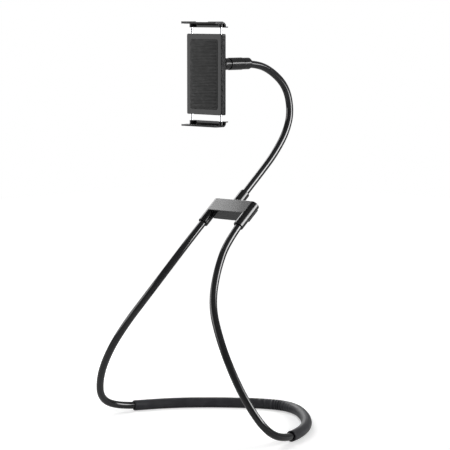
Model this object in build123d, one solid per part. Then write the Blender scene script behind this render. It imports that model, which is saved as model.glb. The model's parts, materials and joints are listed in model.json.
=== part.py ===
from build123d import *

import os
from math import cos, radians, sin, tan

# A phone holder on a bendable stand: a loop with a neck pad, a bracket, a gooseneck arm,
# a ball joint and a sprung clamp. Millimetres, +Z up, standing on the pad, clamp facing -Y.

# Gooseneck tube
TUBE_D = 10.8
SLEEVE_WALL = 1.3
CORE_GAP = 0.15
TUBE_INSERT = 33.0
ARC_SHARE = 0.45

# Foam pad round the back of the loop
PAD_D = 15.6
PAD_LENGTH = 474.0
PAD_BORE_GAP = 0.1
PAD_FLAT_DEPTH = 0.3

# Bracket: two lower barrels, a block between them and one upper barrel, all on one slope
BRACKET_TILT = 40.0
BARREL_SPACING = 72.0
BARREL_END_Y = -21.5
BARREL_END_Z = 292.6
BARREL_D = 15.4
BARREL_LENGTH = 44.5
BARREL_EDGE = 0.8
BLOCK_START = 20.0
BLOCK_THICKNESS = 19.0
BLOCK_SKIN = 2.4
BLOCK_RIB = 2.6
UPPER_BARREL_START = 24.0
UPPER_BARREL_LENGTH = 42.0
FERRULE_WALL = 0.7
FERRULE_GAP = 0.05
FERRULE_LENGTH = 31.0
FERRULE_RECESS = 1.0
BORE_EXTRA = 1.0
LEG_START = 26.0

# Route of the right leg and the right half of the pad, below the bracket
LEG_POINTS = [
    (47.6, -76.1, 234.0),
    (66.8, -104.8, 189.6),
    (94.9, -119.0, 149.5),
    (124.6, -125.6, 107.5),
    (152.3, -121.6, 62.9),
    (172.5, -102.0, 22.5),
]
PAD_POINTS = [(170.3, -62.2), (142.2, 7.3), (93.7, 64.3), (25.3, 114.3)]

# Ball joint at the tip of the arm
BALL_Y = -15.0
BALL_Z = 524.0
BALL_R = 5.4
LINER_WALL = 0.9
SPHERE_GAP = 0.05
LINER_FRONT = 2.7
LINER_BACK = 4.0
NOSE_D = 15.4
NOSE_SETBACK = 0.2
NOSE_LENGTH = 9.8
NUT_D = 17.8
NUT_RIM = 2.7
NUT_LENGTH = 6.7
NUT_GAP = 0.05
NUT_EDGE = 0.9
SOCKET_D = 18.0
SOCKET_LENGTH = 25.8
SOCKET_EDGE = 0.8
SOCKET_HOLE_R = 2.4
GROOVE_DEPTH = 0.8
GROOVE_LENGTH = 1.5
TUBE_SEAT = 16.55
COLLAR_D = 17.0
COLLAR_LENGTH = 15.0
COLLAR_EDGE = 0.4
COLLAR_END_R = 2.4
COLLAR_FLARE = 0.5
COLLAR_FLARE_LENGTH = 9.0

# Route of the arm above the bracket, in the mirror plane: distance up the bracket's slope, then points
ARM_STRAIGHT = 117.6
ARM_INSERT = 28.0
ARM_POINTS = [(94.7, 392.6), (116.9, 420.9), (126.6, 451.5), (116.6, 488.5), (81.0, 514.6)]
ARM_TIP_RUN = 40.0

# Stem of the ball and the swivel pin that carries the clamp
STEM_R = 2.3
STEM_LENGTH = 8.5
SHOULDER_R = 8.0
SHOULDER_REACH = 18.7
SHOULDER_THICKNESS = 3.7
FLARE_R = 5.0
FLARE_BACK = 3.5
PIN_R = 4.0
PIN_GAP = 0.05
SWIVEL_GAP = 0.3
STUD_SCREW_R = 1.2
STUD_SCREW_LENGTH = 8.0
STUD_HEAD_R = 3.0
STUD_HEAD_HEIGHT = 1.4
WASHER_R = 6.5
WASHER_THICKNESS = 0.8
SCREW_GAP = 0.05

# Clamp body
CLAMP_DROP = 13.75
BODY_WIDTH = 70.0
BODY_HEIGHT = 115.0
HOUSING_DEPTH = 7.95
HOUSING_WALL = 2.0
END_WALL = 6.0
COVER_THICKNESS = 1.75
BODY_CORNER = 2.0
BODY_EDGE = 0.6
BOSS_HEIGHT = 11.0
BOSS_TOP_R = 10.0
BOSS_FOOT_R = 13.0
FRONT_PAD_SIDE_MARGIN = 7.0
FRONT_PAD_END_MARGIN = 7.5
FRONT_PAD_THICKNESS = 1.2
FRONT_PAD_RECESS = 0.5
FRONT_PAD_CORNER = 4.0
POST_X = 20.0
POST_Z = 40.0
POST_R = 3.0
SCREW_R = 1.1
SCREW_HEAD_R = 2.2
SCREW_HEAD_HEIGHT = 1.0
SCREW_LENGTH = 5.0

# Guide rods, bushes and springs
ROD_INSET = 5.5
ROD_R = 1.8
ROD_DEPTH = 5.0
ROD_GAP = 0.05
ROD_ENGAGED = 46.0
ROD_HEAD_R = 2.45
ROD_HEAD_HEIGHT = 2.0
ROD_SEAT = 0.8
BUSH_R = 2.6
BUSH_GAP = 0.02
SPRING_WIRE = 0.6
SPRING_TURNS = 6
SPRING_ROD_GAP = 0.1
SPRING_END_GAP = 0.05

# Jaws
JAW_GAP = 14.4
JAW_THICKNESS = 2.4
JAW_REACH = 11.55
JAW_BEND_R = 5.8
JAW_CORNER = 1.1
JAW_LIP_R = 1.1
JAW_BACK_GAP = 0.15
TAB_DROP = 5.5
TAB_THICKNESS = 1.5
TAB_LENGTH = 4.7
TAB_EDGE = 0.6
EAR_WIDTH = 15.0
EAR_RAISE = 0.8
EAR_EDGE = 0.7
ROD_BOSS_R = 3.2
ROD_BOSS_DROP = 5.4
GRIP_SIDE_MARGIN = 4.0
GRIP_DEPTH = 8.8
GRIP_THICKNESS = 1.0
GRIP_RECESS = 0.8
GRIP_FRONT_MARGIN = 1.0

# Values worked out from the sizes above
TUBE_R = TUBE_D / 2
SLEEVE_BORE_R = TUBE_R - SLEEVE_WALL
CORE_R = SLEEVE_BORE_R - CORE_GAP
PAD_Z = PAD_D / 2 - PAD_FLAT_DEPTH
BARREL_R = BARREL_D / 2
BLOCK_LENGTH = BARREL_LENGTH - BLOCK_START
FERRULE_BORE_R = TUBE_R + FERRULE_GAP
FERRULE_R = FERRULE_BORE_R + FERRULE_WALL
BARREL_BORE_R = FERRULE_R + FERRULE_GAP
SLOPE = Vector(0, cos(radians(BRACKET_TILT)), sin(radians(BRACKET_TILT)))
BRACKET_FRAME = Plane(origin=(0, BARREL_END_Y, BARREL_END_Z), x_dir=(1, 0, 0), z_dir=SLOPE)
NECK_AXIS = Axis((0, 0, BALL_Z), (0, 1, 0))
NECK_PROFILE = Plane(origin=(0, 0, BALL_Z), x_dir=(0, 1, 0), z_dir=(1, 0, 0))
LINER_BORE_R = BALL_R + SPHERE_GAP
LINER_R = LINER_BORE_R + LINER_WALL
SEAT_R = LINER_R + SPHERE_GAP
NUT_FRONT_Y = BALL_Y - NUT_RIM
NOSE_FRONT_Y = BALL_Y + NOSE_SETBACK
SOCKET_FRONT_Y = NOSE_FRONT_Y + NOSE_LENGTH
SOCKET_STEP_Y = SOCKET_FRONT_Y + SOCKET_LENGTH
SOCKET_BACK_Y = SOCKET_STEP_Y + GROOVE_LENGTH
TUBE_BORE_R = TUBE_R + FERRULE_GAP
ARM_TIP_Y = SOCKET_BACK_Y - TUBE_SEAT
SHOULDER_Y = BALL_Y - SHOULDER_REACH
BOSS_TOP_Y = SHOULDER_Y - SWIVEL_GAP
BODY_BACK_Y = BOSS_TOP_Y - BOSS_HEIGHT
HOUSING_FRONT_Y = BODY_BACK_Y - HOUSING_DEPTH
COVER_FRONT_Y = HOUSING_FRONT_Y - COVER_THICKNESS
POCKET_BACK_Y = BODY_BACK_Y - HOUSING_WALL
SEAT_Y = COVER_FRONT_Y + FRONT_PAD_RECESS - FRONT_PAD_THICKNESS
PIN_END_Y = POCKET_BACK_Y - SWIVEL_GAP
CLAMP_Z = BALL_Z - CLAMP_DROP
BODY_TOP_Z = CLAMP_Z + BODY_HEIGHT / 2
ROD_X = BODY_WIDTH / 2 - ROD_INSET
ROD_Y = BODY_BACK_Y - ROD_DEPTH
ROD_END_Z = BODY_TOP_Z - ROD_ENGAGED
FRONT_PAD_WIDTH = BODY_WIDTH - 2 * FRONT_PAD_SIDE_MARGIN
FRONT_PAD_HEIGHT = BODY_HEIGHT - 2 * FRONT_PAD_END_MARGIN
JAW_WIDTH = BODY_WIDTH
GRIP_WIDTH = JAW_WIDTH - 2 * GRIP_SIDE_MARGIN
JAW_Z = BODY_TOP_Z + JAW_GAP
JAW_FRONT_Y = COVER_FRONT_Y - JAW_REACH
JAW_BACK_Y = BODY_BACK_Y + JAW_BACK_GAP
SIDES = (-1, 1)
CLAMP_MIDDLE = Plane(origin=(0, 0, CLAMP_Z), z_dir=(0, 0, 1))


def block(x_range, y_range, z_range):
    """Box between two corners."""
    low = Vector(x_range[0], y_range[0], z_range[0])
    high = Vector(x_range[1], y_range[1], z_range[1])
    size = high - low
    return Location((low + high) * 0.5) * Box(size.X, size.Y, size.Z)


def bar_y(radius, y_front, y_back, x=0.0, z=BALL_Z):
    """Round bar along Y."""
    base = Plane(origin=(x, y_front, z), x_dir=(1, 0, 0), z_dir=(0, 1, 0))
    return extrude(base * Circle(radius), y_back - y_front)


def bar_z(radius, z_low, z_high, x=0.0, y=ROD_Y):
    """Round bar along Z."""
    return extrude(Plane(origin=(x, y, z_low)) * Circle(radius), z_high - z_low)


def turned(points):
    """Piece turned about the neck's axis from (y, radius) points."""
    outline = make_face(Polyline(*points, close=True))
    return revolve(NECK_PROFILE * outline, axis=NECK_AXIS)


def smooth_route(points):
    """Wire along a route, with each corner as the largest arc that its two runs allow."""
    corners = [Vector(*point) for point in points]
    radii = []
    for before, corner, after in zip(corners, corners[1:], corners[2:]):
        run_in = corner - before
        run_out = after - corner
        half_turn = radians(run_in.get_angle(run_out)) / 2
        radii.append(ARC_SHARE * min(run_in.length, run_out.length) / tan(half_turn))
    return FilletPolyline(*corners, radius=radii).wire()


def swept(route, outer_r, inner_r=0.0):
    """Round bar or tube along a route."""
    section = Circle(outer_r)
    if inner_r:
        section -= Circle(inner_r)
    start = Plane(origin=route @ 0, z_dir=route % 0)
    return sweep(start * section, path=route)


def slope_point(x, distance):
    """Point on a barrel's axis, at a distance up the bracket's slope from the lower barrel ends."""
    return Vector(x, BARREL_END_Y, BARREL_END_Z) + SLOPE * distance


def loop_route():
    """Route of the loop, from the right barrel round the back to the left barrel."""
    right = [slope_point(BARREL_SPACING / 2, TUBE_INSERT), slope_point(BARREL_SPACING / 2, -LEG_START)]
    right += [Vector(*point) for point in LEG_POINTS]
    right += [Vector(x, y, PAD_Z) for x, y in PAD_POINTS]
    left = [Vector(-point.X, point.Y, point.Z) for point in reversed(right)]
    return smooth_route([*right, *left])


def arm_route():
    """Route of the arm, from the upper barrel up, back and forward to the ball joint."""
    upper_end = UPPER_BARREL_START + UPPER_BARREL_LENGTH
    points = [slope_point(0, upper_end - ARM_INSERT), slope_point(0, ARM_STRAIGHT)]
    points += [Vector(0, y, z) for y, z in ARM_POINTS]
    points += [Vector(0, ARM_TIP_Y + ARM_TIP_RUN, BALL_Z), Vector(0, ARM_TIP_Y, BALL_Z)]
    return smooth_route(points)


def neck_pad(route):
    """Foam sleeve on the back of the loop, pressed flat underneath where it lies."""
    half = PAD_LENGTH / 2 / route.length
    foam = swept(route.trim(0.5 - half, 0.5 + half), PAD_D / 2, TUBE_R + PAD_BORE_GAP)
    reach = PAD_LENGTH
    return foam & block((-reach, reach), (-reach, reach), (0, PAD_D))


def barrel(x, start, length):
    """One round barrel of the bracket, with softened rims."""
    outer = BRACKET_FRAME * Pos(x, 0, start) * extrude(Circle(BARREL_R), length)
    return fillet(outer.edges().filter_by(GeomType.CIRCLE), BARREL_EDGE)


def barrel_bore(x, start, length):
    """Blind hole along a barrel."""
    return BRACKET_FRAME * Pos(x, 0, start) * extrude(Circle(BARREL_BORE_R), length)


def bracket():
    """Moulded block with its three barrels, cored out from below."""
    half = BARREL_SPACING / 2
    upper_end = UPPER_BARREL_START + UPPER_BARREL_LENGTH
    plate = Box(BARREL_SPACING, BLOCK_THICKNESS, BLOCK_LENGTH, align=(Align.CENTER, Align.MIN, Align.MIN))
    plate = fillet(plate.edges().filter_by(Axis.X), BARREL_EDGE)
    body = BRACKET_FRAME * Pos(0, -BARREL_R, BLOCK_START) * plate
    body += barrel(0, UPPER_BARREL_START, UPPER_BARREL_LENGTH)
    for side in SIDES:
        body += barrel(side * half, 0, BARREL_LENGTH)
    pocket_width = half - 2 * (BARREL_R + BLOCK_RIB)
    pocket_length = BLOCK_LENGTH - 2 * BLOCK_RIB
    for side in SIDES:
        pocket = Box(pocket_width, BLOCK_THICKNESS, pocket_length, align=(Align.CENTER, Align.MIN, Align.MIN))
        body -= BRACKET_FRAME * Pos(side * half / 2, BLOCK_SKIN - BARREL_R, BLOCK_START + BLOCK_RIB) * pocket
        body -= barrel_bore(side * half, 0, TUBE_INSERT + BORE_EXTRA)
    body -= barrel_bore(0, upper_end - ARM_INSERT - BORE_EXTRA, ARM_INSERT + BORE_EXTRA)
    return body


def ferrule(x, start, length):
    """Crimped sleeve on a tube end inside a barrel."""
    ring = Circle(FERRULE_R) - Circle(FERRULE_BORE_R)
    return BRACKET_FRAME * Pos(x, 0, start) * extrude(ring, length)


def loop_end_ferrules():
    """The two sleeves on the loop's ends."""
    half = BARREL_SPACING / 2
    return [ferrule(side * half, FERRULE_RECESS, FERRULE_LENGTH) for side in SIDES]


def arm_root_ferrule():
    """The sleeve on the foot of the arm."""
    upper_end = UPPER_BARREL_START + UPPER_BARREL_LENGTH
    length = ARM_INSERT - 2 * FERRULE_RECESS
    return ferrule(0, upper_end - FERRULE_RECESS - length, length)


def ball(radius):
    """Sphere at the centre of the ball joint."""
    return Pos(0, BALL_Y, BALL_Z) * Sphere(radius)


def widest_rims(body):
    """The circular edges of the largest radius, from front to back."""
    circles = body.edges().filter_by(GeomType.CIRCLE)
    return circles.group_by(lambda edge: edge.radius)[-1].sort_by(Axis.Y)


def ball_socket():
    """End fitting: a nose with a round seat for the ball, and the tube's bore behind."""
    nose_r = NOSE_D / 2
    outer_r = SOCKET_D / 2
    groove_r = outer_r - GROOVE_DEPTH
    body = turned([
        (NOSE_FRONT_Y, 0),
        (NOSE_FRONT_Y, nose_r),
        (SOCKET_FRONT_Y, nose_r),
        (SOCKET_FRONT_Y, outer_r),
        (SOCKET_STEP_Y, outer_r),
        (SOCKET_STEP_Y, groove_r),
        (SOCKET_BACK_Y, groove_r),
        (SOCKET_BACK_Y, 0),
    ])
    body = fillet(widest_rims(body)[0], SOCKET_EDGE)
    body -= ball(SEAT_R)
    body -= bar_y(SOCKET_HOLE_R, BALL_Y, ARM_TIP_Y)
    return body - bar_y(TUBE_BORE_R, ARM_TIP_Y, SOCKET_BACK_Y)


def ball_lock_nut():
    """Nut on the socket's nose that closes the round seat over the ball."""
    nut_back = NUT_FRONT_Y + NUT_LENGTH
    body = fillet(widest_rims(bar_y(NUT_D / 2, NUT_FRONT_Y, nut_back)), NUT_EDGE)
    body -= bar_y(NOSE_D / 2 + NUT_GAP, NOSE_FRONT_Y, nut_back)
    return body - ball(SEAT_R)


def tube_collar():
    """Ring that grips the tube, rounded towards it behind."""
    collar_end = SOCKET_BACK_Y + COLLAR_LENGTH
    body = bar_y(COLLAR_D / 2, SOCKET_BACK_Y, collar_end)
    body = fillet(widest_rims(body)[-1], COLLAR_END_R)
    body = fillet(widest_rims(body)[0], COLLAR_EDGE)
    bore = turned([
        (SOCKET_BACK_Y, 0),
        (SOCKET_BACK_Y, TUBE_BORE_R),
        (collar_end - COLLAR_FLARE_LENGTH, TUBE_BORE_R),
        (collar_end, TUBE_BORE_R + COLLAR_FLARE),
        (collar_end, 0),
    ])
    return body - bore


def ball_liner():
    """Friction liner: a band of a round shell between ball and socket."""
    shell = ball(LINER_R) - ball(LINER_BORE_R)
    reach = (-LINER_R, LINER_R)
    band = (BALL_Y - LINER_FRONT, BALL_Y + LINER_BACK)
    return shell & block(reach, band, (BALL_Z - LINER_R, BALL_Z + LINER_R))


def ball_stud():
    """Ball, stem, shoulder and swivel pin in one turned piece."""
    neck_y = BALL_Y - STEM_LENGTH
    shoulder_back = SHOULDER_Y + SHOULDER_THICKNESS
    body = turned([
        (BALL_Y, 0),
        (BALL_Y, STEM_R),
        (neck_y, STEM_R),
        (shoulder_back + FLARE_BACK, FLARE_R),
        (shoulder_back, SHOULDER_R),
        (SHOULDER_Y, SHOULDER_R),
        (SHOULDER_Y, PIN_R),
        (PIN_END_Y, PIN_R),
        (PIN_END_Y, 0),
    ])
    body += ball(BALL_R)
    hole_depth = STUD_SCREW_LENGTH + SCREW_GAP
    return body - bar_y(STUD_SCREW_R + SCREW_GAP, PIN_END_Y, PIN_END_Y + hole_depth)


def stud_washer():
    """Washer that keeps the swivel pin in the housing."""
    front = PIN_END_Y - WASHER_THICKNESS
    disc = bar_y(WASHER_R, front, PIN_END_Y)
    return disc - bar_y(STUD_SCREW_R + SCREW_GAP, front, PIN_END_Y)


def stud_screw():
    """Screw through the washer into the pin."""
    head_back = PIN_END_Y - WASHER_THICKNESS
    shank = bar_y(STUD_SCREW_R, head_back, PIN_END_Y + STUD_SCREW_LENGTH)
    return shank + bar_y(STUD_HEAD_R, head_back - STUD_HEAD_HEIGHT, head_back)


def body_slab(y_front, y_back):
    """Slab with the clamp body's outline."""
    outline = RectangleRounded(BODY_WIDTH, BODY_HEIGHT, BODY_CORNER)
    base = Plane(origin=(0, y_back, CLAMP_Z), x_dir=(1, 0, 0), z_dir=(0, -1, 0))
    return extrude(base * outline, y_back - y_front)


def posts():
    """Places of the four screw posts, as (x, z)."""
    return [(x * POST_X, CLAMP_Z + z * POST_Z) for x in SIDES for z in SIDES]


def rod_places():
    """Places of the rods in the body's two ends, as (x, sign of z)."""
    return [(x * ROD_X, z) for z in SIDES for x in SIDES]


def clamp_rear_housing():
    """Tray that holds the rods and springs, with the swivel boss behind."""
    tray = body_slab(HOUSING_FRONT_Y, BODY_BACK_Y)
    back_face = tray.faces().sort_by(Axis.Y)[-1]
    tray = chamfer(back_face.edges(), BODY_EDGE)
    front_face = tray.faces().sort_by(Axis.Y)[0]
    tray = chamfer(front_face.edges(), BODY_EDGE)
    tray += turned([
        (BODY_BACK_Y - HOUSING_WALL / 2, 0),
        (BODY_BACK_Y - HOUSING_WALL / 2, BOSS_FOOT_R),
        (BODY_BACK_Y, BOSS_FOOT_R),
        (BOSS_TOP_Y, BOSS_TOP_R),
        (BOSS_TOP_Y, 0),
    ])
    inner_x = BODY_WIDTH / 2 - HOUSING_WALL
    inner_z = BODY_HEIGHT / 2 - END_WALL
    inner_heights = (CLAMP_Z - inner_z, CLAMP_Z + inner_z)
    tray -= block((-inner_x, inner_x), (HOUSING_FRONT_Y, POCKET_BACK_Y), inner_heights)
    tray -= bar_y(PIN_R + PIN_GAP, POCKET_BACK_Y, BOSS_TOP_Y)
    for x, sign in rod_places():
        inner = CLAMP_Z + sign * inner_z
        outer = CLAMP_Z + sign * BODY_HEIGHT / 2
        tray -= bar_z(BUSH_R + BUSH_GAP, min(inner, outer), max(inner, outer), x)
    for x, z in posts():
        tray -= bar_y(SCREW_R + SCREW_GAP, POCKET_BACK_Y, BODY_BACK_Y, x, z)
        tray -= bar_y(SCREW_HEAD_R + SCREW_GAP, BODY_BACK_Y - SCREW_HEAD_HEIGHT, BODY_BACK_Y, x, z)
    return tray


def clamp_front_cover():
    """Front plate with the screw posts and the recess for the rubber pad."""
    plate = body_slab(COVER_FRONT_Y, HOUSING_FRONT_Y)
    front_face = plate.faces().sort_by(Axis.Y)[0]
    plate = chamfer(front_face.edges(), BODY_EDGE)
    plate -= pad_slab(COVER_FRONT_Y, COVER_FRONT_Y + FRONT_PAD_RECESS)
    for x, z in posts():
        plate += bar_y(POST_R, HOUSING_FRONT_Y, POCKET_BACK_Y, x, z)
        hole_end = BODY_BACK_Y - SCREW_HEAD_HEIGHT - SCREW_LENGTH - SCREW_GAP
        plate -= bar_y(SCREW_R + SCREW_GAP, hole_end, POCKET_BACK_Y, x, z)
    return plate


def pad_slab(y_front, y_back):
    """Slab with the front pad's outline."""
    outline = RectangleRounded(FRONT_PAD_WIDTH, FRONT_PAD_HEIGHT, FRONT_PAD_CORNER)
    base = Plane(origin=(0, y_back, CLAMP_Z), x_dir=(1, 0, 0), z_dir=(0, -1, 0))
    return extrude(base * outline, y_back - y_front)


def clamp_front_pad():
    """Rubber sheet that the phone's back lies on."""
    return pad_slab(SEAT_Y, COVER_FRONT_Y + FRONT_PAD_RECESS)


def housing_screws():
    """The four screws that hold cover and housing together."""
    screws = []
    for x, z in posts():
        head_front = BODY_BACK_Y - SCREW_HEAD_HEIGHT
        head = bar_y(SCREW_HEAD_R, head_front, BODY_BACK_Y, x, z)
        screws.append(head + bar_y(SCREW_R, head_front - SCREW_LENGTH, head_front, x, z))
    return screws


def rod_bushes():
    """Plain bushes that guide the rods through the body's end walls."""
    bushes = []
    for x, sign in rod_places():
        outer = CLAMP_Z + sign * BODY_HEIGHT / 2
        inner = outer - sign * END_WALL
        low = min(inner, outer)
        high = max(inner, outer)
        bushes.append(bar_z(BUSH_R, low, high, x) - bar_z(ROD_R + ROD_GAP, low, high, x))
    return bushes


def guide_rods():
    """The upper jaw's two rods, each with a head that the spring bears on."""
    rods = []
    for side in SIDES:
        rod = bar_z(ROD_R, ROD_END_Z, JAW_Z + ROD_SEAT, side * ROD_X)
        rods.append(rod + bar_z(ROD_HEAD_R, ROD_END_Z, ROD_END_Z + ROD_HEAD_HEIGHT, side * ROD_X))
    return rods


def jaw_springs():
    """Compression springs on the upper rods, between the rod heads and the end wall."""
    low = ROD_END_Z + ROD_HEAD_HEIGHT + SPRING_WIRE / 2 + SPRING_END_GAP
    high = BODY_TOP_Z - END_WALL - SPRING_WIRE / 2 - SPRING_END_GAP
    coil_r = ROD_R + SPRING_ROD_GAP + SPRING_WIRE / 2
    helix = Helix(pitch=(high - low) / SPRING_TURNS, height=high - low, radius=coil_r)
    wire = Plane(origin=helix @ 0, z_dir=helix % 0) * Rectangle(SPRING_WIRE, SPRING_WIRE)
    spring = sweep(wire, path=helix, is_frenet=True)
    return [Pos(side * ROD_X, ROD_Y, low) * spring for side in SIDES]


def jaw_blank():
    """Upper jaw: a plate that bends down behind and ends in a finger tab."""
    tab_top = TAB_THICKNESS - TAB_DROP
    inner_back = JAW_BACK_Y - JAW_THICKNESS
    corners = [
        (JAW_FRONT_Y, 0, JAW_LIP_R),
        (JAW_FRONT_Y, JAW_THICKNESS, JAW_LIP_R),
        (JAW_BACK_Y, JAW_THICKNESS, JAW_BEND_R),
        (JAW_BACK_Y, tab_top, TAB_EDGE),
        (JAW_BACK_Y + TAB_LENGTH, tab_top, TAB_EDGE),
        (JAW_BACK_Y + TAB_LENGTH, -TAB_DROP, TAB_EDGE),
        (inner_back, -TAB_DROP, TAB_EDGE),
        (inner_back, 0, JAW_BEND_R - JAW_THICKNESS),
    ]
    outline = FilletPolyline(*[(y, z) for y, z, _ in corners], radius=[r for _, _, r in corners], close=True)
    side = Plane(origin=(-JAW_WIDTH / 2, 0, JAW_Z), x_dir=(0, 1, 0), z_dir=(1, 0, 0))
    jaw = extrude(side * make_face(outline), JAW_WIDTH)
    for x_side in SIDES:
        jaw += bar_z(ROD_BOSS_R, JAW_Z - ROD_BOSS_DROP, JAW_Z, x_side * ROD_X)
    return jaw


def jaw_finish(jaw):
    """Round a jaw's corners in plan, and cut its rod seats and the recess for its grip strip."""
    depth = JAW_BACK_Y + TAB_LENGTH - JAW_FRONT_Y
    middle_y = JAW_FRONT_Y + depth / 2
    plan = Plane(origin=(0, middle_y, JAW_Z - JAW_GAP)) * RectangleRounded(JAW_WIDTH, depth, JAW_CORNER)
    jaw = jaw & extrude(plan, 2 * JAW_GAP)
    for side in SIDES:
        jaw -= bar_z(ROD_R, JAW_Z - ROD_BOSS_DROP, JAW_Z + ROD_SEAT, side * ROD_X)
    return jaw - grip_strip(GRIP_RECESS)


def grip_strip(thickness):
    """Rubber strip under the upper jaw's plate, let into it."""
    front = JAW_FRONT_Y + GRIP_FRONT_MARGIN
    top = JAW_Z + GRIP_RECESS
    half = GRIP_WIDTH / 2
    return block((-half, half), (front, front + GRIP_DEPTH), (top - thickness, top))


def jaw_ears():
    """Raised ends on top of the upper jaw."""
    ears = []
    top = JAW_THICKNESS + EAR_RAISE
    back = JAW_BACK_Y - JAW_BEND_R
    for side in SIDES:
        x_range = sorted((side * JAW_WIDTH / 2, side * (JAW_WIDTH / 2 - EAR_WIDTH)))
        ear = block(x_range, (JAW_FRONT_Y, back), (JAW_Z + JAW_THICKNESS / 2, JAW_Z + top))
        ears.append(fillet(ear.faces().sort_by(Axis.Z)[-1].edges(), EAR_EDGE))
    return ears


def below(pieces):
    """Mirror the upper pieces to the lower end of the clamp."""
    return [mirror(piece, about=CLAMP_MIDDLE) for piece in pieces]


def save(node, *pieces):
    """Write a node's solids to its own file."""
    export_step(Compound(children=list(pieces)), f"parts/{node}.step")


def main():
    """Build every piece and write it."""
    os.makedirs("parts", exist_ok=True)

    loop = loop_route()
    save("loop_sleeve", swept(loop, TUBE_R, SLEEVE_BORE_R))
    save("loop_core", swept(loop, CORE_R))
    save("neck_pad", neck_pad(loop))

    save("bracket", bracket())
    save("loop_end_ferrules", *loop_end_ferrules())
    save("arm_root_ferrule", arm_root_ferrule())

    arm = arm_route()
    save("arm_sleeve", swept(arm, TUBE_R, SLEEVE_BORE_R))
    save("arm_core", swept(arm, CORE_R))

    save("ball_socket", ball_socket())
    save("ball_lock_nut", ball_lock_nut())
    save("tube_collar", tube_collar())
    save("ball_liner", ball_liner())
    save("ball_stud", ball_stud())
    save("stud_washer", stud_washer())
    save("stud_screw", stud_screw())

    save("clamp_rear_housing", clamp_rear_housing())
    save("clamp_front_cover", clamp_front_cover())
    save("clamp_front_pad", clamp_front_pad())
    save("housing_screws", *housing_screws())
    save("rod_bushes", *rod_bushes())

    lower_jaw = jaw_finish(jaw_blank())
    upper_jaw = jaw_finish(jaw_blank() + jaw_ears())
    save("upper_jaw", upper_jaw)
    save("upper_jaw_pad", grip_strip(GRIP_THICKNESS))
    save("upper_guide_rods", *guide_rods())
    save("upper_jaw_springs", *jaw_springs())
    save("lower_jaw", *below([lower_jaw]))
    save("lower_jaw_pad", *below([grip_strip(GRIP_THICKNESS)]))
    save("lower_guide_rods", *below(guide_rods()))
    save("lower_jaw_springs", *below(jaw_springs()))

    print("loop length", round(loop.length, 1), "arm length", round(arm.length, 1))


main()
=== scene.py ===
"""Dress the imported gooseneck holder: a black bendable stand, a foam neck pad and a sprung clamp."""

import json
import logging
import math
from dataclasses import dataclass, field
from enum import Enum
from typing import Iterable, Sequence

import bmesh
import bpy
from mathutils import Matrix, Vector, kdtree, noise

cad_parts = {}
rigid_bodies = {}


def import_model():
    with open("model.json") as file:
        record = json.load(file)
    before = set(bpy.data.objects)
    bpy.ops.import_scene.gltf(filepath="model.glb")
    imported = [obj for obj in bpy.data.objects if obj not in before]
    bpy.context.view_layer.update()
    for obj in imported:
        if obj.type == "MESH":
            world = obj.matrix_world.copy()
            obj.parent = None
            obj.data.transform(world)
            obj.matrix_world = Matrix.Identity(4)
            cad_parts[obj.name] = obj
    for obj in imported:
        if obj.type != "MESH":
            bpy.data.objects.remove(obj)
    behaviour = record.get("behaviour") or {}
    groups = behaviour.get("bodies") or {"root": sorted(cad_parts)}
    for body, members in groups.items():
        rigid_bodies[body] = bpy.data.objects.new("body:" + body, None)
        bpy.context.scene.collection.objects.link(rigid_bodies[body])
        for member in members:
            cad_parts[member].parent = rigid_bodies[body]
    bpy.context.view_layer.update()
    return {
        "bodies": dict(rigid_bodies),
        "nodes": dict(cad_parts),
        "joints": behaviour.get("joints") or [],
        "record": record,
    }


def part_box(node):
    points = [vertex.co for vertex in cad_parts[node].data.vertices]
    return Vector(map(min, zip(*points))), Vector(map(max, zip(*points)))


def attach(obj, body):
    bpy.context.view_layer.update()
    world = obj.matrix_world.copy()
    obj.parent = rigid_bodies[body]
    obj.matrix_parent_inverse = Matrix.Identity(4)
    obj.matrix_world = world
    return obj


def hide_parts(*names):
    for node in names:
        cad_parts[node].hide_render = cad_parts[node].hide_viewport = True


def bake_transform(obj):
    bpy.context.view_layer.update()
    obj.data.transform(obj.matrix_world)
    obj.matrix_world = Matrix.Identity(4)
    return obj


LOG = logging.getLogger("gooseneck_holder")
MM = 0.001
WELD_M = 1e-6
X_AXIS = Vector((1, 0, 0))
Y_AXIS = Vector((0, 1, 0))
WHITE = "#ffffff"

# Noise values between which a finish turns from its dark to its light patches, and from glossy to dull.
TINT_EDGES = (0.35, 0.65)
GLOSS_EDGES = (0.3, 0.7)
# Scale at which the bands of a wave texture lie about one unit apart.
WAVE_SCALE = 2 / math.tau

Point = tuple[float, float, float]
Span = tuple[float, float]
Materials = dict[str, bpy.types.Material]
Brightness = float | bpy.types.NodeSocket


def linear(hex_colour: str) -> tuple[float, float, float, float]:
    """Turn an sRGB hex colour into the linear values that a shader takes.

    Args:
        hex_colour: six hex digits after a hash sign.

    Returns:
        Linear red, green and blue, and an alpha of one.
    """
    channels = [int(hex_colour[i:i + 2], 16) / 255 for i in (1, 3, 5)]
    return (*[c / 12.92 if c <= 0.04045 else ((c + 0.055) / 1.055) ** 2.4 for c in channels], 1.0)


def add_node(tree: bpy.types.NodeTree, kind: str, options: dict[str, object] | None = None,
             inputs: Sequence[object] = (), **sockets: object) -> bpy.types.Node:
    """Add a node, set its options, and fill or link its inputs.

    Args:
        tree: node tree that gets the node.
        kind: type name of the node.
        options: properties of the node itself.
        inputs: values or outputs for its first inputs, in order.
        **sockets: input names with underscores for spaces, each with a value or an output to link.

    Returns:
        The new node.
    """
    node = tree.nodes.new(kind)
    for name, value in (options or {}).items():
        setattr(node, name, value)
    wanted = list(enumerate(inputs)) + [(name.replace("_", " "), value) for name, value in sockets.items()]
    for key, value in wanted:
        if isinstance(value, bpy.types.NodeSocket):
            tree.links.new(value, node.inputs[key])
        else:
            node.inputs[key].default_value = value
    return node


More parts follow.
